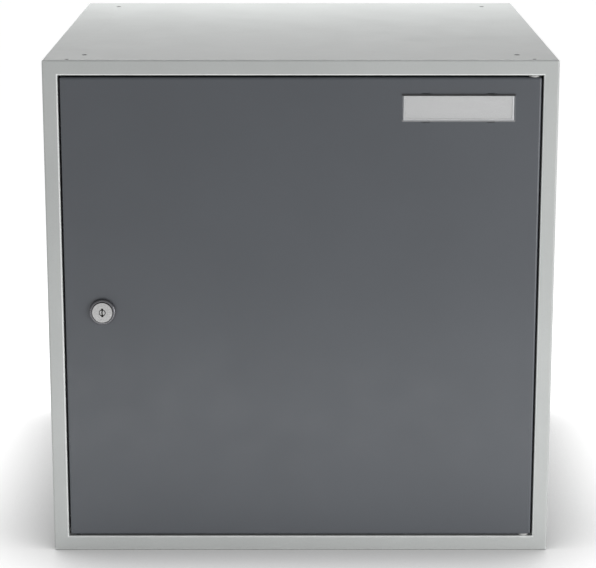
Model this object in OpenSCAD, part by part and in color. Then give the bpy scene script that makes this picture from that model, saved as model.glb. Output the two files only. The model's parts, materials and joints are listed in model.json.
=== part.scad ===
// Parcel locker: one square, stackable sheet-steel compartment with a
// pivot-hung door, a quarter-turn cam lock and a clip-on label holder.
//
// Millimetres. +Z is up and the door faces -Y. The origin is the centre of the
// underside of the casing, which is the face that the locker stands on.

/* [Casing] */
// Outside width and height of the square front
casing_size = 500; // [400:10:600]
// Outside depth from the front frame to the rear rim
casing_depth = 500; // [350:10:600]
// Thickness of all the folded sheet steel
sheet_t = 1; // [0.8:0.1:1.2]
// Outside radius of every fold
bend_r = 2; // [1.6:0.1:2.4]
// Width of the frame face all round the door
frame_face = 15; // [14:1:20]
// Depth of the folded rails above and below the door
rail_depth = 40; // [30:1:60]
// Width of the lip that the door closes against, on each side
stop_lip = 10; // [8:1:12]
// Depth of the rim behind the back panel
rear_rim = 12; // [8:1:20]

/* [Fixing holes] */
// Distance of the coupling holes from the outside edges, top and bottom
coupling_inset = 38; // [30:1:60]
// Diameter of the coupling holes
coupling_d = 5.5; // [4.5:0.5:6.5]
// Spacing of the four wall-fixing holes in the back panel
wall_spacing = 380; // [260:10:400]
// Diameter of the wall-fixing holes
wall_d = 8.5; // [6.5:0.5:10.5]

/* [Door] */
// Gap between the door and the frame
door_gap = 2; // [1.8:0.1:2.4]
// Thickness of the door pan
door_depth = 18; // [17:1:19]
// Width of the lip folded round the back of the door pan
door_lip = 10; // [8:1:14]
// Distance of the hinge axis behind the front plane
pivot_depth = 6; // [5.8:0.1:6.2]
// Distance of the hinge axis from the door's edge
pivot_in = 7; // [7:0.1:7.4]
// Diameter of the hinge pins
pin_d = 4; // [4:0.2:4.4]

/* [Lock] */
// Distance of the lock axis from the door's edge
lock_in = 37; // [35:1:38]
// Diameter of the rotating face of the lock
lock_face_d = 20.8; // [19:0.2:21]
// Diameter of the lock's bezel where it meets the door
bezel_d = 26; // [25:0.5:28]
// How far the bezel stands proud of the door
bezel_h = 4; // [3:0.5:5]
// Reach of the cam from the lock axis
cam_reach = 38; // [34:0.5:42]

/* [Label holder] */
// Width of the clear label holder
label_w = 110; // [90:1:120]
// Height of the clear label holder
label_h = 27; // [24:1:32]
// Distance of its centre from the door's hinge edge
label_in_x = 80; // [75:1:100]
// Distance of its centre from the top of the door
label_in_z = 29.5; // [26:0.5:60]

/* [Hidden] */
$fn = 64;

frame_colour = [0.70, 0.71, 0.71];
door_colour = [0.31, 0.33, 0.36];
zinc = [0.78, 0.79, 0.80];
steel = [0.62, 0.63, 0.65];
nylon = [0.82, 0.82, 0.80];

front = -casing_depth / 2;
mid_z = casing_size / 2;
over = 1;                  // how far a cutter passes beyond what it cuts
inner_r = bend_r - sheet_t; // inside radius of a fold

// Front frame, as distances from the front plane and in from the outside wall
stop_front = door_depth + 3;            // front surface of the stop lip
rail_lip_free = bend_r + 2;             // free edge of the lip that closes a rail
opening = casing_size - 2 * frame_face; // clear width and height of the frame
coupling_spacing = [casing_size, casing_depth] - 2 * coupling_inset * [1, 1];

// Door
door_size = opening - 2 * door_gap;
door_edge = door_size / 2;
pivot_x = door_edge - pivot_in;
pivot_clear = 0.1;         // radial clearance of a pin in a sheet hole

// Hinge parts
bush_sleeve_r = pin_d / 2 + 1;
bush_collar_r = 5;
bush_running = 0.05;       // radial running clearance between pin and bush
bush_end_gap = 0.1;        // axial clearance between collar and frame
bracket_t = 2.5;
bracket_w = 19;            // along X
bracket_leg = 21;          // along Z
support = [20, 12, 3];     // plate that holds a pin, inside the rail
pin_recess = 3;            // how far a pin's end lies inside the casing wall
pin_below_bush = 6;        // how far a pin reaches past the hinge bracket

// Lock, as depths behind the front plane
lock_x = -door_edge + lock_in;
lock_z = mid_z;
barrel_d = 18;
barrel_flats = 16;
plug_r = 6;
plug_running = 0.06;
cap_t = 2.2;
cap_proud = 1.3;
bezel_round = 1.8;         // radius of the bezel's outer edge
cap_clear = 0.3;
washer_t = 0.8;
washer_r = 12.6;
nut_t = 5;
nut_flats = 22;
cam_t = 2.5;
cam_front = stop_front + sheet_t + 1;
barrel_end = cam_front - 0.3;
cam_square = 8;
cam_washer_t = 1;
screw_d = 4;
keyway_h = 8.8;            // height of the key slot
keyway_end = [1.9, 2.2];   // width and height of its open ends
keyway_web = 1.2;          // width of the crooked part between them
keyway_kink = 0.3;         // how far that part bends to the side
groove = [3.4, 0.8, 0.5];  // ring round the key slot: outer radius, width, depth
wafer_count = 6;
wafer_pitch = 2.4;
wafer = [5, 10.6, 0.8];    // width, height, thickness
wafer_window = [2.4, 8.2];
buffer_r = 4;
buffer_gap = 0.4;          // between a buffer and the closed door

// Label
label_x = door_edge - label_in_x;
label_z = mid_z + door_edge - label_in_z;
label_t = 2;
label_flange_t = 0.9;
label_window = [label_w - 3, label_h - 2.5]; // raised part of the holder
card = [label_w - 4, label_h - 3.5, 0.5];
pocket_t = 0.7;
hook_w = 7;
hook_t = 1.2;
hook_x = 31.5;             // hooks either side of the label's centre
hook_in = hook_t / 2;      // hook centre in from the holder's edge
slot = [8, 2];
slot_out = 0.3;            // slot centre outside the hook centre

// ---------------------------------------------------------------- helpers

// A rectangle with its four corners rounded, centred on the origin.
module rounded_rect(w, h, r) {
  square([w - 2 * r, h], center = true);
  square([w, h - 2 * r], center = true);
  for (sx = [-1, 1], sy = [-1, 1])
    translate([sx * (w / 2 - r), sy * (h / 2 - r)]) circle(r);
}

// A slab w wide, h high and d deep along +Y from y = 0, centred in X and Z,
// with every edge rounded.
module rounded_slab(w, h, d, r) {
  intersection() {
    translate([0, d, 0]) rotate([90, 0, 0]) linear_extrude(d) rounded_rect(w, h, r);
    translate([0, d / 2, 0]) linear_extrude(h, center = true) rounded_rect(w, d, r);
    translate([0, d / 2, 0]) rotate([90, 0, 90])
      linear_extrude(w, center = true) rounded_rect(d, h, r);
  }
}

// A block spanning two opposite corners.
module block(low, high) translate(low) cube(high - low);

// One quarter of a fold, centred at a point, in the quadrant given by two signs.
module fold(at, su, sv) {
  translate(at) intersection() {
    difference() {
      circle(bend_r);
      circle(inner_r);
    }
    translate([su > 0 ? 0 : -bend_r, sv > 0 ? 0 : -bend_r]) square(bend_r);
  }
}

// Turns what is drawn for the bottom of the casing to side 0 bottom, 1 left,
// 2 top or 3 right.
module on_side(side)
  translate([0, 0, mid_z]) rotate([0, side * 90, 0]) translate([0, 0, -mid_z])
    children();

// Mirrors what is drawn at the top of the casing to its bottom.
module upside_down() translate([0, 0, casing_size]) mirror([0, 0, 1]) children();

// Vertical hole through whatever spans z1 to z2, at a depth behind the front.
module vertical_hole(x, depth, r, z1, z2)
  translate([x, front + depth, z1]) cylinder(h = z2 - z1, r = r);

// Places the lock's own axes: +Z goes into the locker and +Y points down.
module lock_axes() translate([lock_x, front, lock_z]) rotate([-90, 0, 0]) children();

// ---------------------------------------------------------------- casing

// Folded section shared by the four walls, as depth from the front plane (u)
// and distance in from the outside (v), up to the return beside the door.
module wall_section(return_end) {
  translate([bend_r, 0]) square([casing_depth - bend_r, sheet_t]);
  fold([bend_r, bend_r], -1, -1);
  translate([0, bend_r]) square([sheet_t, frame_face - 2 * bend_r]);
  fold([bend_r, frame_face - bend_r], -1, 1);
  translate([bend_r, frame_face - sheet_t]) square([return_end - bend_r, sheet_t]);
}

// Rails above and below the door: the return is long, and its end folds back
// towards the wall.
module rail_section() {
  wall_section(rail_depth - bend_r);
  fold([rail_depth - bend_r, frame_face - bend_r], 1, 1);
  translate([rail_depth - sheet_t, rail_lip_free])
    square([sheet_t, frame_face - bend_r - rail_lip_free]);
}

// Stiles beside the door: the return ends in the lip that the door stops on.
module stile_section() {
  bend_u = stop_front - inner_r;
  wall_section(bend_u);
  fold([bend_u, frame_face + inner_r], 1, -1);
  translate([stop_front, frame_face + inner_r])
    square([sheet_t, stop_lip - inner_r]);
}

// A wall of the casing at the bottom, with its ends mitred to meet the walls
// on either side.
module mitred_wall() {
  half = casing_size / 2;
  clear = half - frame_face;
  reach = frame_face + stop_lip + over;
  intersection() {
    translate([0, front, 0]) rotate([90, 0, 90])
      linear_extrude(casing_size, center = true) children();
    translate([0, -front + over, 0]) rotate([90, 0, 0])
      linear_extrude(casing_depth + 2 * over) polygon([
        [-half, 0], [half, 0], [clear, frame_face], [clear, reach],
        [-clear, reach], [-clear, frame_face]
      ]);
    translate([0, -front + over, mid_z]) rotate([90, 0, 0])
      linear_extrude(casing_depth + 2 * over) rounded_rect(casing_size, casing_size, bend_r);
  }
}

// Holes in the bottom panel: four for coupling, and one pair on each side for a
// hinge pin, so that the door can hang on either side.
module rail_holes() {
  for (sx = [-1, 1]) {
    for (sy = [-1, 1])
      translate([sx * coupling_spacing.x / 2, sy * coupling_spacing.y / 2, -over])
        cylinder(h = sheet_t + 2 * over, d = coupling_d);
    vertical_hole(sx * pivot_x, pivot_depth, pin_d / 2 + pivot_clear, -over, frame_face + over);
  }
}

module rail_panel() {
  difference() {
    mitred_wall() rail_section();
    rail_holes();
  }
}

module bottom_panel() color(frame_colour) rail_panel();
module top_panel() color(frame_colour) on_side(2) rail_panel();
module left_panel() color(frame_colour) on_side(1) mitred_wall() stile_section();
module right_panel() color(frame_colour) on_side(3) mitred_wall() stile_section();

// Recessed back, whose folded rim points to the rear and is welded to the walls.
module back_panel() {
  size = casing_size - 2 * sheet_t;
  color(frame_colour) translate([0, -front - rear_rim, mid_z]) difference() {
    rounded_slab(size, size, 3 * rear_rim, bend_r);
    translate([0, sheet_t, 0])
      rounded_slab(size - 2 * sheet_t, size - 2 * sheet_t, 3 * rear_rim, inner_r);
    block([-size, rear_rim, -size], [size, 4 * rear_rim, size]);
    for (sx = [-1, 1], sz = [-1, 1])
      translate([sx * wall_spacing / 2, sheet_t + over, sz * wall_spacing / 2])
        rotate([90, 0, 0]) cylinder(h = sheet_t + 2 * over, d = wall_d);
  }
}

// Plate inside the rail that a hinge pin is pressed into.
module hinge_support() {
  rail_top = casing_size - frame_face + sheet_t;
  color(steel) difference() {
    translate([pivot_x - support.x / 2, front + bend_r, rail_top]) cube(support);
    vertical_hole(pivot_x, pivot_depth, pin_d / 2, rail_top - over, rail_top + support.z + over);
  }
}

// Pin from inside the casing wall, through the rail, to below the door bracket.
module hinge_pin() {
  chamfer = 0.5;
  low = mid_z + door_edge - sheet_t - bracket_t - pin_below_bush;
  high = casing_size - pin_recess;
  color(steel) translate([pivot_x, front + pivot_depth, low]) {
    cylinder(h = chamfer, d1 = pin_d - 2 * chamfer, d2 = pin_d);
    translate([0, 0, chamfer]) cylinder(h = high - low - 2 * chamfer, d = pin_d);
    translate([0, 0, high - low - chamfer])
      cylinder(h = chamfer, d1 = pin_d, d2 = pin_d - 2 * chamfer);
  }
}

// Domed rubber buffer on the left stop lip.
module door_buffer() {
  height = stop_front - door_depth - buffer_gap;
  color([0.08, 0.08, 0.08])
    translate([-opening / 2 + stop_lip / 2 + 0.5, front + stop_front, casing_size - 60])
      rotate([90, 0, 0]) {
        cylinder(h = height - 0.8, r = buffer_r);
        translate([0, 0, height - 0.8]) cylinder(h = 0.8, r1 = buffer_r, r2 = buffer_r - 1);
      }
}

// ---------------------------------------------------------------- door

module door_slots() {
  for (sx = [-1, 1], sz = [-1, 1])
    translate([label_x + sx * hook_x, front + sheet_t / 2,
               label_z + sz * (label_h / 2 - hook_in + slot_out)])
      cube([slot.x, 3 * sheet_t, slot.y], center = true);
}

// Hole for the lock: round with two flats, so that the lock can't turn in it.
module lock_hole() {
  clear = 0.1;
  lock_axes() translate([0, 0, -over]) linear_extrude(sheet_t + 2 * over) intersection() {
    circle(d = barrel_d + 2 * clear);
    square([barrel_flats + 2 * clear, 2 * barrel_d], center = true);
  }
}

// Door pan: face, four edges and a lip round the back, folded from one sheet.
module door_panel() {
  inside = door_size - 2 * sheet_t;
  window = door_size - 2 * door_lip;
  color(door_colour) difference() {
    translate([0, front, mid_z]) difference() {
      rounded_slab(door_size, door_size, door_depth, bend_r);
      translate([0, sheet_t, 0])
        rounded_slab(inside, inside, door_depth - 2 * sheet_t, inner_r);
      block([-window / 2, door_depth - sheet_t - over, -window / 2],
            [window / 2, door_depth + over, window / 2]);
    }
    lock_hole();
    door_slots();
    vertical_hole(pivot_x, pivot_depth, bush_sleeve_r, 0, casing_size);
  }
}

// Upright hat channel spot-welded to the back of the door face.
module door_stiffener() {
  hat = 36;      // width over the raised part
  brim = 14;     // width of each welded flange
  rise = door_depth - 5;
  length = door_size - 2 * door_lip - 6;
  color(door_colour) translate([0, front + sheet_t, mid_z - length / 2])
    linear_extrude(length) {
      translate([-hat / 2 + bend_r, rise - sheet_t]) square([hat - 2 * bend_r, sheet_t]);
      for (s = [0, 1]) mirror([s, 0]) {
        fold([hat / 2 - bend_r, rise - bend_r], 1, 1);
        translate([hat / 2 - sheet_t, bend_r]) square([sheet_t, rise - 2 * bend_r]);
        fold([hat / 2 + inner_r, bend_r], -1, -1);
        translate([hat / 2 + inner_r, 0]) square([brim - inner_r, sheet_t]);
      }
    }
}

// Angle welded into the upper hinge corner of the door; it carries the bush.
module hinge_bracket() {
  inside = mid_z + door_edge - sheet_t;      // underside of the door's top edge
  side = door_edge - sheet_t;                // inside of its hinge edge
  far = door_depth - bend_r;
  color(steel) difference() {
    union() {
      block([side - bracket_w, front + bend_r, inside - bracket_t],
            [side - inner_r, front + far, inside]);
      block([side - bracket_t, front + bend_r, inside - bracket_leg],
            [side, front + far, inside - inner_r]);
    }
    vertical_hole(pivot_x, pivot_depth, bush_sleeve_r, inside - bracket_leg, inside + over);
  }
}

// Flanged bush in the door's top edge; its collar fills the gap to the rail.
module hinge_bush() {
  top = mid_z + door_edge;
  sleeve = sheet_t + bracket_t;
  collar = door_gap - bush_end_gap;
  edge = 0.4;
  color(nylon) translate([pivot_x, front + pivot_depth, top]) rotate_extrude() polygon([
    [pin_d / 2 + bush_running, -sleeve], [bush_sleeve_r, -sleeve], [bush_sleeve_r, 0],
    [bush_collar_r - edge, 0], [bush_collar_r, edge], [bush_collar_r, collar - edge],
    [bush_collar_r - edge, collar], [pin_d / 2 + bush_running, collar]
  ]);
}

// ---------------------------------------------------------------- label

// Bar of a given length along Z, w wide at the door and bevelled on both sides.
module bevelled_bar(w, length) {
  bevel = label_t - label_flange_t;
  linear_extrude(length, center = true) polygon([
    [-w / 2, 0], [-w / 2, -label_flange_t], [-w / 2 + bevel, -label_t],
    [w / 2 - bevel, -label_t], [w / 2, -label_flange_t], [w / 2, 0]
  ]);
}

// Raised window of the label holder, bevelled on all four sides.
module label_window() intersection() {
  bevelled_bar(label_window.x, label_window.y);
  rotate([0, 90, 0]) bevelled_bar(label_window.y, label_window.x);
}

// Clear cover over the card, with four hooks that snap through the door face.
module label_holder() {
  barb = 1;
  color([0.80, 0.84, 0.86, 0.4]) translate([label_x, front, label_z]) {
    difference() {
      union() {
        rotate([90, 0, 0]) linear_extrude(label_flange_t) rounded_rect(label_w, label_h, 1);
        label_window();
      }
      block([-card.x / 2 - 0.3, -pocket_t, -card.y / 2 - 0.2],
            [card.x / 2 + 0.3, over, card.y / 2 + 0.2]);
    }
    for (sx = [-1, 1], sz = [-1, 1]) translate([sx * hook_x, 0, sz * (label_h / 2 - hook_in)])
      scale([1, 1, sz]) {
        block([-hook_w / 2, 0, -hook_t / 2], [hook_w / 2, sheet_t + 1.2, hook_t / 2]);
        block([-hook_w / 2, sheet_t + 0.1, hook_t / 2],
              [hook_w / 2, sheet_t + 1.2, hook_t / 2 + barb]);
      }
  }
}

module label_card()
  color("white") translate([label_x, front - card.z / 2, label_z])
    cube([card.x, card.z, card.y], center = true);

// ---------------------------------------------------------------- lock

// Outline of the key slot: an open square at each end, and between them a
// crooked web that follows the grooves of the key.
module keyway_outline() {
  reach = keyway_h / 2 - keyway_end.y / 2;
  for (s = [-1, 1]) translate([0, s * reach]) square(keyway_end, center = true);
  polygon([for (side = [-1, 1], step = [0:2]) let (y = side * (1 - step) * reach)
    [side * keyway_web / 2 + (step == 1 ? -keyway_kink : keyway_kink), y]]);
}

// Bezel and barrel in one casting, with a bore for the plug.
module lock_housing() {
  rim = lock_face_d / 2 + cap_clear;
  seat = -bezel_h + cap_t - cap_proud + 0.1;
  bore = plug_r + plug_running;
  color(zinc) lock_axes() difference() {
    rotate_extrude() {
      polygon([
        [bore, seat], [rim, seat], [rim, -bezel_h], [bezel_d / 2 - bezel_round, -bezel_h],
        [bezel_d / 2 - bezel_round, bezel_round - bezel_h], [bezel_d / 2, bezel_round - bezel_h],
        [bezel_d / 2, 0], [barrel_d / 2, 0], [barrel_d / 2, barrel_end - 0.8],
        [barrel_d / 2 - 0.8, barrel_end], [bore, barrel_end]
      ]);
      translate([bezel_d / 2 - bezel_round, bezel_round - bezel_h]) intersection() {
        circle(bezel_round);
        translate([0, -bezel_round]) square(bezel_round);
      }
    }
    for (sx = [-1, 1])
      translate([sx * (barrel_flats / 2 + barrel_d / 2), 0, barrel_end / 2 + 0.01])
        cube([barrel_d, 2 * barrel_d, barrel_end], center = true);
  }
}

// Toothed washer behind the door face.
module lock_washer() {
  teeth = 18;
  color(steel) lock_axes() translate([0, 0, sheet_t]) difference() {
    cylinder(h = washer_t, r = washer_r);
    translate([0, 0, -over]) cylinder(h = washer_t + 2 * over, d = barrel_d + 0.1);
    for (i = [0:teeth - 1]) rotate(i * 360 / teeth) translate([washer_r, 0, washer_t / 2])
      cube([2.4, 1.2, 2 * washer_t], center = true);
  }
}

// Hexagon nut that clamps the lock to the door.
module lock_nut() {
  color(zinc) lock_axes() translate([0, 0, sheet_t + washer_t]) difference() {
    intersection() {
      cylinder(h = nut_t, d = nut_flats / cos(30), $fn = 6);
      union() {
        cylinder(h = nut_t - 1, d = nut_flats / cos(30));
        translate([0, 0, nut_t - 1])
          cylinder(h = 1, d1 = nut_flats / cos(30), d2 = nut_flats - 1);
      }
    }
    translate([0, 0, -over]) cylinder(h = nut_t + 2 * over, d = barrel_d);
  }
}

// Depth of wafer number i behind the front plane.
function wafer_at(i) = 3 + i * wafer_pitch;

// Rotating plug: face disc, round core with its key slot and wafer slots, and a
// square tail for the cam.
module lock_plug() {
  face = -bezel_h - cap_proud;
  edge = 0.5;
  r = lock_face_d / 2;
  key_depth = wafer_at(wafer_count) + 1;
  color(zinc) lock_axes() difference() {
    union() {
      rotate_extrude() polygon([
        [0, face], [r - edge, face], [r, face + edge], [r, face + cap_t],
        [plug_r, face + cap_t], [plug_r, cam_front], [0, cam_front]
      ]);
      translate([0, 0, cam_front + cam_t / 2]) cube([cam_square, cam_square, cam_t], center = true);
    }
    translate([0, 0, face - over]) difference() {
      cylinder(h = groove[2] + over, r = groove[0]);
      cylinder(h = groove[2] + over, r = groove[0] - groove[1]);
    }
    translate([0, 0, face - over]) linear_extrude(key_depth - face + over) keyway_outline();
    for (i = [0:wafer_count - 1]) translate([0, 0, wafer_at(i)])
      cube([wafer.x, 2 * plug_r + over, wafer.z], center = true);
    translate([0, 0, cam_front - 7]) cylinder(h = cam_t + 7 + over, d = screw_d);
  }
}

// Flat tumblers, at the height where a fitting key holds them.
module lock_wafers() {
  color([0.80, 0.66, 0.36]) lock_axes() for (i = [0:wafer_count - 1])
    translate([0, 0, wafer_at(i)]) difference() {
      cube(wafer, center = true);
      cube([wafer_window.x, wafer_window.y, 2 * wafer.z], center = true);
    }
}

// Cam: points down when the door is free, and turns towards the frame to lock.
module lock_cam() {
  root_r = 8.5;
  tip_r = 6;
  color(steel) lock_axes() translate([0, 0, cam_front]) difference() {
    linear_extrude(cam_t) {
      circle(root_r);
      translate([-tip_r, 0]) square([2 * tip_r, cam_reach - tip_r]);
      translate([0, cam_reach - tip_r]) circle(tip_r);
    }
    translate([0, 0, cam_t / 2]) cube([cam_square, cam_square, 2 * cam_t], center = true);
  }
}

module cam_washer() {
  color(steel) lock_axes() translate([0, 0, cam_front + cam_t]) difference() {
    cylinder(h = cam_washer_t, d = 13);
    translate([0, 0, -over]) cylinder(h = cam_washer_t + 2 * over, d = screw_d + 0.3);
  }
}

// Cross-head screw that holds the cam on the plug.
module cam_screw() {
  head_t = 2.4;
  head = cam_front + cam_t + cam_washer_t;
  color(steel) lock_axes() difference() {
    union() {
      translate([0, 0, head - cam_t - cam_washer_t - 6])
        cylinder(h = cam_t + cam_washer_t + 6, d = screw_d);
      translate([0, 0, head]) cylinder(h = head_t - 0.8, d = 8);
      translate([0, 0, head + head_t - 0.8]) cylinder(h = 0.8, d1 = 8, d2 = 6);
    }
    for (a = [0, 90]) rotate(a) translate([0, 0, head + head_t]) cube([4, 0.9, 2.4], center = true);
  }
}

// ---------------------------------------------------------------- assembly

top_panel();
bottom_panel();
left_panel();
right_panel();
back_panel();
hinge_support();  // hinge_support_upper
upside_down() hinge_support();  // hinge_support_lower
hinge_pin();  // hinge_pin_upper
upside_down() hinge_pin();  // hinge_pin_lower
door_buffer();  // door_buffer_upper
upside_down() door_buffer();  // door_buffer_lower
door_panel();
door_stiffener();
hinge_bracket();  // hinge_bracket_upper
upside_down() hinge_bracket();  // hinge_bracket_lower
hinge_bush();  // hinge_bush_upper
upside_down() hinge_bush();  // hinge_bush_lower
label_holder();
label_card();
lock_housing();
lock_washer();
lock_nut();
lock_plug();
lock_wafers();
lock_cam();
cam_washer();
cam_screw();
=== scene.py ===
"""Looks of the parcel locker: procedural materials for the CAD's pieces, a studio and a camera."""

import json
import math

import bpy
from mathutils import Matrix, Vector


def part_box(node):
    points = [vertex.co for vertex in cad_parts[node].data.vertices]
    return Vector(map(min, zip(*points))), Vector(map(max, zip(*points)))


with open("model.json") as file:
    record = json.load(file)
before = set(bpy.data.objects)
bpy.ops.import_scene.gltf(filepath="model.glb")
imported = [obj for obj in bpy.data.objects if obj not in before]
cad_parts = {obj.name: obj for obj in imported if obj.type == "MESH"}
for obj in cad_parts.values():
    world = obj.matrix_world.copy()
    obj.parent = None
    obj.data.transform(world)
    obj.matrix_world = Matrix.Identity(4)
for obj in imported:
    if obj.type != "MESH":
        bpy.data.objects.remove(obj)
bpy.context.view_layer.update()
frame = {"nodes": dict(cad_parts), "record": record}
NODES = frame["nodes"]

MM = 0.001

# The casing's box gives every place that the scene needs.
CASING_LOW = Vector([min(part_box(n)[0][i] for n in ("left_panel", "bottom_panel")) for i in range(3)])
CASING_HIGH = Vector([max(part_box(n)[1][i] for n in ("right_panel", "top_panel")) for i in range(3)])
FRONT_Y = CASING_LOW.y
HEIGHT = CASING_HIGH.z
WIDTH = CASING_HIGH.x - CASING_LOW.x
FRAME_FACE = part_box("top_panel")[1].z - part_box("top_panel")[0].z
OPENING = WIDTH - 2 * FRAME_FACE

# Upright holes in the top and bottom: distance from the middle to either side, place along
# the depth, and radius. The first two are the coupling holes, the last the pivot holes.
UPRIGHT_HOLES = (
    (212 * MM, -212 * MM, 2.75 * MM),
    (212 * MM, 212 * MM, 2.75 * MM),
    (226 * MM, -244 * MM, 2.1 * MM),
)

WHITE = (1.0, 1.0, 1.0, 1.0)
# Colour of the painted shade in the lock's key slot and groove.
LOCK_RECESS_SHADE = (0.015, 0.015, 0.015, 1.0)
# Colour of the painted shadow along the ledges of the label cover.
LEDGE_SHADOW = (0.012, 0.012, 0.013, 1.0)


# ---------------------------------------------------------------- node helpers


class Shader:
    """A material's node tree, with short calls for the nodes that these materials share."""

    def __init__(self, name):
        self.material = bpy.data.materials.new(name)
        self.material.use_nodes = True
        self.tree = self.material.node_tree
        self.bsdf = self.tree.nodes["Principled BSDF"]
        self.place = self.tree.nodes.new("ShaderNodeTexCoord").outputs["Object"]

    def node(self, kind, **values):
        """A new node, with its properties set."""
        made = self.tree.nodes.new(kind)
        for key, value in values.items():
            setattr(made, key, value)
        return made

    def link(self, source, target):
        self.tree.links.new(source, target)

    def stretched(self, scale):
        """The object's coordinates, scaled by a factor along each axis."""
        mapping = self.node("ShaderNodeMapping")
        mapping.inputs["Scale"].default_value = scale
        self.link(self.place, mapping.inputs["Vector"])
        return mapping.outputs["Vector"]

    def noise(self, size, detail=2.0, roughness=0.5, place=None):
        """Noise whose features are about size metres across."""
        made = self.node("ShaderNodeTexNoise")
        made.inputs["Scale"].default_value = 1.0 / size
        made.inputs["Detail"].default_value = detail
        made.inputs["Roughness"].default_value = roughness
        self.link(place or self.place, made.inputs["Vector"])
        return made.outputs["Fac"]

    def remap(self, value, low, high, to_low, to_high):
        """Turns low to high into to_low to to_high, and stays within those ends."""
        made = self.node("ShaderNodeMapRange")
        made.clamp = True
        for socket, number in zip(
            ("From Min", "From Max", "To Min", "To Max"), (low, high, to_low, to_high)
        ):
            made.inputs[socket].default_value = number
        self.link(value, made.inputs["Value"])
        return made.outputs["Result"]

    def mix(self, factor, first, second):
        """Mixes two colours, each a socket or a tuple."""
        made = self.node("ShaderNodeMix", data_type="RGBA")
        self.link(factor, made.inputs[0])
        for socket, colour in ((made.inputs[6], first), (made.inputs[7], second)):
            if isinstance(colour, tuple):
                socket.default_value = colour
            else:
                self.link(colour, socket)
        return made.outputs[2]

    def math(self, operation, first, second=0.0):
        """A Math node's result, from sockets or numbers."""
        made = self.node("ShaderNodeMath", operation=operation)
        for socket, value in zip(made.inputs, (first, second)):
            if isinstance(value, (int, float)):
                socket.default_value = value
            else:
                self.link(value, socket)
        return made.outputs[0]

    def axes(self, vector):
        """The three numbers of a vector, as sockets."""
        split = self.node("ShaderNodeSeparateXYZ")
        self.link(vector, split.inputs[0])
        return split.outputs

    def folds(self):
        """1 on rounded folds, 0 on faces that look straight along an axis."""
        normal = self.node("ShaderNodeTexCoord").outputs["Normal"]
        sizes = [self.math("ABSOLUTE", part) for part in self.axes(normal)]
        largest = self.math("MAXIMUM", self.math("MAXIMUM", sizes[0], sizes[1]), sizes[2])
        well_rounded = 0.86
        nearly_flat = 0.995
        return self.remap(largest, well_rounded, nearly_flat, 1.0, 0.0)

    def inside(self, axis, middle, half, blur):
        """1 where a coordinate is well within half of middle, fading to 0 over blur."""
        away = self.math("ABSOLUTE", self.math("SUBTRACT", self.axes(self.place)[axis], middle))
        return self.remap(away, half - blur, half, 1.0, 0.0)

    def in_hole(self, out, back, radius):
        """1 on the walls of the upright holes at out to either side and at back, else 0."""
        x, y, _ = self.axes(self.place)
        across = self.math("SUBTRACT", self.math("ABSOLUTE", x), out)
        along = self.math("SUBTRACT", y, back)
        squares = [self.math("MULTIPLY", part, part) for part in (across, along)]
        away = self.math("SQRT", self.math("ADD", *squares))
        return self.remap(away, radius + 0.01 * MM, radius + 0.03 * MM, 1.0, 0.0)

    def bump(self, height, strength, distance, under=None):
        """A normal that follows height, on top of the normal under where one is given."""
        made = self.node("ShaderNodeBump")
        made.inputs["Strength"].default_value = strength
        made.inputs["Distance"].default_value = distance
        self.link(height, made.inputs["Height"])
        if under is not None:
            self.link(under, made.inputs["Normal"])
        return made.outputs["Normal"]

    def set(self, **values):
        """Sets or links the main shader's sockets, named with _ for a space."""
        for key, value in values.items():
            socket = self.bsdf.inputs[key.replace("_", " ")]
            if isinstance(value, bpy.types.NodeSocket):
                self.link(value, socket)
            else:
                socket.default_value = value


def tint(colour, factor):
    """An opaque colour, made paler or darker by factor."""
    return tuple(c * factor for c in colour) + (1.0,)


# ---------------------------------------------------------------- materials


def powder_coat(name, colour, roughness, rub):
    """Cured powder paint: a faint orange peel, finer grain, and slightly uneven gloss.
    The folds round the door opening are smoother and carry a painted highlight, paler by
    the factor rub, and so in part do the folds along the top and bottom. The walls of the
    holes are darkened with painted shade."""
    opening_reach = OPENING / 2 + 4 * MM
    end_band = 2 * MM
    # Share of the painted highlight that the folds along the top and bottom get.
    end_highlight = 0.5
    hole_shade = 0.2
    rub_gloss = 0.12
    s = Shader(name)
    cloud = s.noise(90 * MM, detail=3.0)
    fleck = s.noise(0.9 * MM, detail=3.0, roughness=0.7)
    shade = s.mix(s.remap(cloud, 0.35, 0.65, 0.0, 1.0), tint(colour, 0.975), tint(colour, 1.025))
    shade = s.mix(s.remap(fleck, 0.30, 0.45, 1.0, 0.0), shade, tint(colour, 0.90))
    smear = s.noise(35 * MM, detail=4.0, roughness=0.6)
    peel = s.noise(1.6 * MM, detail=1.0)
    grain = s.noise(0.35 * MM, detail=2.0)
    normal = s.bump(peel, 0.12, 0.12 * MM)
    normal = s.bump(grain, 0.10, 0.04 * MM, under=normal)
    near_opening = s.math(
        "MULTIPLY",
        s.inside(0, 0.0, opening_reach, MM),
        s.inside(2, HEIGHT / 2, opening_reach, MM),
    )
    between = s.inside(2, HEIGHT / 2, HEIGHT / 2 - end_band, MM)
    near_ends = s.math("MULTIPLY", s.math("SUBTRACT", 1.0, between), end_highlight)
    # Mask of the folds that get a painted highlight and a smoother gloss.
    fold_highlight_and_gloss = s.math("MULTIPLY", s.folds(), s.math("MAXIMUM", near_opening, near_ends))
    patchy = s.remap(s.noise(14 * MM, detail=3.0), 0.25, 0.6, 0.75, 1.0)
    fold_highlight_and_gloss = s.math("MULTIPLY", fold_highlight_and_gloss, patchy)
    rough = s.remap(smear, 0.3, 0.7, roughness - 0.04, roughness + 0.05)
    # Painted highlight: the folds are made paler by the factor rub.
    shade = s.mix(fold_highlight_and_gloss, shade, tint(colour, rub))
    # Painted shade: the walls of the upright holes are darkened by hole_shade.
    for hole in UPRIGHT_HOLES:
        shade = s.mix(s.in_hole(*hole), shade, tint(colour, hole_shade))
    s.set(
        Base_Color=shade,
        Roughness=s.math("SUBTRACT", rough, s.math("MULTIPLY", fold_highlight_and_gloss, rub_gloss)),
        Normal=normal,
    )
    return s.material


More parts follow.
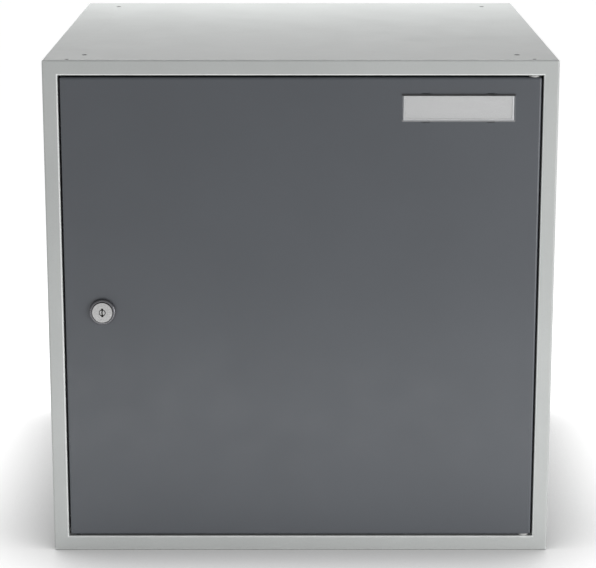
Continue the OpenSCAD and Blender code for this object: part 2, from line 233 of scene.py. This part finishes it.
def plated_steel(name, colour, roughness):
    """Zinc-plated steel: cloudy crystals and short scratches."""
    s = Shader(name)
    cloud = s.noise(3 * MM, detail=4.0, roughness=0.65)
    scratch = s.noise(0.4 * MM, detail=2.0, place=s.stretched((1.0, 1.0, 0.08)))
    shade = s.mix(s.remap(cloud, 0.3, 0.7, 0.0, 1.0), tint(colour, 0.88), tint(colour, 1.08))
    s.set(
        Base_Color=shade,
        Metallic=1.0,
        Roughness=s.remap(cloud, 0.3, 0.7, roughness - 0.07, roughness + 0.07),
        Normal=s.bump(scratch, 0.15, 0.03 * MM),
    )
    return s.material


def satin_nickel(name, colour, roughness, metallic=1.0, shade_from=None):
    """Nickel-plated die casting with a fine blasted grain and faint key scratches.
    Further back than the depth given for it, in the key slot and the groove, it is duller and darkened
    with painted shade."""
    shade_depth = 0.1 * MM
    recess_dullness = 0.25
    s = Shader(name)
    grain = s.noise(0.25 * MM, detail=3.0, roughness=0.7)
    blotch = s.noise(4 * MM, detail=3.0)
    scratch = s.noise(0.5 * MM, detail=2.0, place=s.stretched((0.12, 1.0, 1.0)))
    shade = s.mix(s.remap(blotch, 0.3, 0.7, 0.0, 1.0), tint(colour, 0.94), tint(colour, 1.04))
    normal = s.bump(grain, 0.18, 0.03 * MM)
    rough = s.remap(scratch, 0.35, 0.65, roughness - 0.05, roughness + 0.06)
    if shade_from is not None:
        # Painted shade: darker and duller behind the face, in the key slot and the groove.
        recess_shade = s.remap(s.axes(s.place)[1], shade_from, shade_from + shade_depth, 0.0, 1.0)
        shade = s.mix(recess_shade, shade, LOCK_RECESS_SHADE)
        rough = s.math("ADD", rough, s.math("MULTIPLY", recess_shade, recess_dullness))
    s.set(
        Base_Color=shade,
        Metallic=metallic,
        Roughness=rough,
        Normal=s.bump(scratch, 0.08, 0.02 * MM, under=normal),
    )
    return s.material


def stamped_brass(name):
    """Bare brass, a little uneven in colour and polish."""
    s = Shader(name)
    cloud = s.noise(1.5 * MM, detail=3.0)
    s.set(
        Base_Color=s.mix(cloud, (0.52, 0.35, 0.12, 1.0), (0.70, 0.50, 0.20, 1.0)),
        Metallic=1.0,
        Roughness=s.remap(cloud, 0.3, 0.7, 0.25, 0.42),
        Normal=s.bump(s.noise(0.3 * MM), 0.1, 0.02 * MM),
    )
    return s.material


def moulded_nylon(name):
    """Natural nylon, which lets a little light into it."""
    s = Shader(name)
    cloud = s.noise(6 * MM, detail=3.0)
    s.set(
        Base_Color=s.mix(cloud, (0.36, 0.36, 0.35, 1.0), (0.41, 0.41, 0.40, 1.0)),
        Roughness=s.remap(cloud, 0.3, 0.7, 0.42, 0.55),
        Subsurface_Weight=0.1,
        Normal=s.bump(s.noise(0.3 * MM, detail=3.0), 0.12, 0.03 * MM),
    )
    s.bsdf.inputs["Subsurface Radius"].default_value = (MM, MM, MM)
    return s.material


def moulded_rubber(name):
    """Black rubber with a matt, finely pitted face."""
    s = Shader(name)
    cloud = s.noise(2 * MM, detail=3.0)
    s.set(
        Base_Color=s.mix(cloud, (0.014, 0.014, 0.015, 1.0), (0.030, 0.030, 0.032, 1.0)),
        Roughness=s.remap(cloud, 0.3, 0.7, 0.65, 0.85),
        Normal=s.bump(s.noise(0.25 * MM, detail=3.0), 0.3, 0.03 * MM),
    )
    return s.material


def clear_plastic(name):
    """Thin clear cover: see-through, with fine rub marks, and a painted highlight that makes
    its bevels and side edges paler. A painted shadow lies along the ledges above and below
    the window. The hooks behind the door face hardly show."""
    ledge = 0.1 * MM
    fade = 0.05 * MM
    shadow_above = 1.0
    shadow_below = 0.7
    bevel_highlight = 0.45
    edge_highlight = 0.2
    hook_haze = 0.03
    s = Shader(name)
    card_low, card_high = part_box("label_card")
    side = (card_high.x - card_low.x) / 2 + 2.6 * MM
    rub = s.noise(2.5 * MM, detail=4.0, place=s.stretched((0.15, 1.0, 1.0)))
    z = s.axes(s.place)[2]
    # Painted shadow along the ledges above and below the window.
    above = s.remap(z, card_high.z + ledge, card_high.z + ledge + fade, 0.0, shadow_above)
    below = s.remap(z, card_low.z - ledge - fade, card_low.z - ledge, shadow_below, 0.0)
    ledge_shadow = s.math("MAXIMUM", above, below)
    edge = s.math("SUBTRACT", 1.0, s.inside(0, (card_low.x + card_high.x) / 2, side, fade))
    # Painted highlight on the bevels and side edges.
    bevel_and_edge_highlight = s.math(
        "MAXIMUM",
        s.math("MULTIPLY", s.folds(), bevel_highlight),
        s.math("MULTIPLY", edge, edge_highlight),
    )
    # Rub-mark haze, with the painted highlight and the painted shadow, sets the cover's alpha.
    haze_highlight_and_shadow = s.math("MAXIMUM", s.math("ADD", s.remap(rub, 0.2, 0.8, 0.06, 0.09), bevel_and_edge_highlight), ledge_shadow)
    in_front = s.remap(s.axes(s.place)[1], FRONT_Y - 0.1 * MM, FRONT_Y, 1.0, 0.0)
    plastic = s.mix(rub, (0.84, 0.86, 0.88, 1.0), (0.92, 0.93, 0.94, 1.0))
    s.set(
        Base_Color=s.mix(ledge_shadow, plastic, LEDGE_SHADOW),
        Roughness=s.remap(rub, 0.3, 0.7, 0.10, 0.20),
        Alpha=s.math("MAXIMUM", s.math("MULTIPLY", haze_highlight_and_shadow, in_front), hook_haze),
        IOR=1.49,
        Normal=s.bump(rub, 0.03, 0.02 * MM),
    )
    return s.material


def label_board(name):
    """Blank pale card with a faint grain along its length."""
    s = Shader(name)
    fibre = s.noise(0.8 * MM, detail=4.0, roughness=0.7, place=s.stretched((0.35, 1.0, 1.0)))
    s.set(
        Base_Color=s.mix(fibre, (0.39, 0.39, 0.39, 1.0), (0.45, 0.45, 0.45, 1.0)),
        Roughness=s.remap(fibre, 0.3, 0.7, 0.75, 0.9),
        Normal=s.bump(fibre, 0.15, 0.03 * MM),
    )
    return s.material


# One material for each slot of the record.
MATERIALS = {
    # rub sets how much paler the painted highlight makes the folds.
    "casing_paint": powder_coat("casing_paint", (0.395, 0.408, 0.402), 0.40, rub=1.75),
    "door_paint": powder_coat("door_paint", (0.061, 0.067, 0.077), 0.42, rub=1.3),
    "zinc_steel": plated_steel("zinc_steel", (0.56, 0.57, 0.58), 0.34),
    "nickel": satin_nickel("nickel", (0.13, 0.13, 0.14), 0.24, metallic=0.65),
    "brass": stamped_brass("brass"),
    "nylon": moulded_nylon("nylon"),
    "rubber": moulded_rubber("rubber"),
    "clear_plastic": clear_plastic("clear_plastic"),
    "card": label_board("card"),
}


def lock_face_nickel():
    """Nickel for the lock's face, paler than the bezel, with painted shade behind the face."""
    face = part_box("lock_plug")[0].y
    return satin_nickel("lock_face_nickel", (0.39, 0.39, 0.39), 0.30, shade_from=face + 0.03 * MM)


# Nodes whose finish differs from their slot's.
OWN_MATERIALS = {"lock_plug": lock_face_nickel()}


def paint_frame():
    """Gives every CAD node the material of its slot, or its own."""
    for entry in frame["record"]["subparts"]:
        name = entry["node"]
        materials = NODES[name].data.materials
        materials.clear()
        materials.append(OWN_MATERIALS.get(name, MATERIALS[entry["material_slot"]]))


# ---------------------------------------------------------------- studio

FLOOR_SIZE = 40.0
FLOOR_GLOW = 0.85
SHADOW_REACH = 120 * MM

HORIZON_STRENGTH = 0.60
OVERHEAD_STRENGTH = 0.28
OVERHEAD_FROM = 0.7  # height in the sky, from 0 at the horizon to 1 straight up


def make_floor():
    """Pale, faintly glowing floor that runs far past the view. Its glow fades where
    something stands close over it, which leaves a soft contact shadow."""
    bpy.ops.mesh.primitive_plane_add(size=FLOOR_SIZE, location=(0.0, 0.0, 0.0))
    floor = bpy.context.object
    floor.name = "studio_floor"
    s = Shader("studio_floor")
    cloud = s.noise(400 * MM, detail=2.0)
    closeness = s.node("ShaderNodeAmbientOcclusion", samples=16)
    closeness.inputs["Distance"].default_value = SHADOW_REACH
    openness = s.math("POWER", closeness.outputs["AO"], 2.0)
    s.set(
        Base_Color=s.mix(cloud, (0.40, 0.40, 0.40, 1.0), (0.42, 0.42, 0.42, 1.0)),
        Roughness=0.6,
        Specular_IOR_Level=0.2,
        Emission_Color=WHITE,
        Emission_Strength=s.math("MULTIPLY", openness, FLOOR_GLOW),
    )
    floor.data.materials.append(s.material)


def make_world():
    """A pale studio, a little darker overhead."""
    world = bpy.data.worlds.new("studio_world")
    bpy.context.scene.world = world
    world.use_nodes = True
    nodes = world.node_tree.nodes
    links = world.node_tree.links
    split = nodes.new("ShaderNodeSeparateXYZ")
    links.new(nodes.new("ShaderNodeTexCoord").outputs["Generated"], split.inputs[0])
    fade = nodes.new("ShaderNodeMapRange")
    fade.inputs["From Max"].default_value = OVERHEAD_FROM
    fade.inputs["To Min"].default_value = HORIZON_STRENGTH
    fade.inputs["To Max"].default_value = OVERHEAD_STRENGTH
    links.new(split.outputs["Z"], fade.inputs["Value"])
    links.new(fade.outputs["Result"], nodes["Background"].inputs["Strength"])
    nodes["Background"].inputs["Color"].default_value = WHITE


def make_softbox(name, place, aim, size, watts):
    """A rectangular area light at place that faces aim and doesn't show itself."""
    lamp = bpy.data.lights.new(name, "AREA")
    lamp.shape = "RECTANGLE"
    lamp.size, lamp.size_y = size
    lamp.energy = watts
    holder = bpy.data.objects.new(name, lamp)
    bpy.context.scene.collection.objects.link(holder)
    holder.location = place
    holder.visible_camera = False
    holder.rotation_euler = (Vector(aim) - Vector(place)).to_track_quat("-Z", "Y").to_euler()


def make_lights():
    """A key light, a low strip in front for the bottom rail, and a strip over the back edge."""
    front = (0.0, FRONT_Y, HEIGHT / 2)
    make_softbox("key_right", (1.1, -1.1, 0.25), front, (0.5, 0.5), 7.9)
    make_softbox("low_front", (0.0, -0.65, 0.03), (0.0, 0.0, 0.03), (1.2, 0.04), 0.75)
    make_softbox("top_back", (0.0, 0.42, HEIGHT + 0.45), (0.0, 0.42, HEIGHT), (1.2, 0.15), 8.8)


# The camera stands in front of the door and above it, pitched down with no lens shift.
CAMERA_X = -0.0026
CAMERA_DISTANCE = 4.2 * WIDTH
CAMERA_HEIGHT = 1.57 * HEIGHT
CAMERA_PITCH = math.radians(13.57)
CAMERA_LENS = 132.2
SENSOR_WIDTH = 36.0


def make_camera():
    data = bpy.data.cameras.new("camera")
    data.lens = CAMERA_LENS
    data.sensor_width = SENSOR_WIDTH
    camera = bpy.data.objects.new("camera", data)
    bpy.context.scene.collection.objects.link(camera)
    camera.location = (CAMERA_X, FRONT_Y - CAMERA_DISTANCE, CAMERA_HEIGHT)
    camera.rotation_euler = (math.pi / 2 - CAMERA_PITCH, 0.0, 0.0)
    bpy.context.scene.camera = camera


make_camera()
make_world()
make_lights()
make_floor()
paint_frame()
bpy.context.scene.view_settings.view_transform = "Standard"
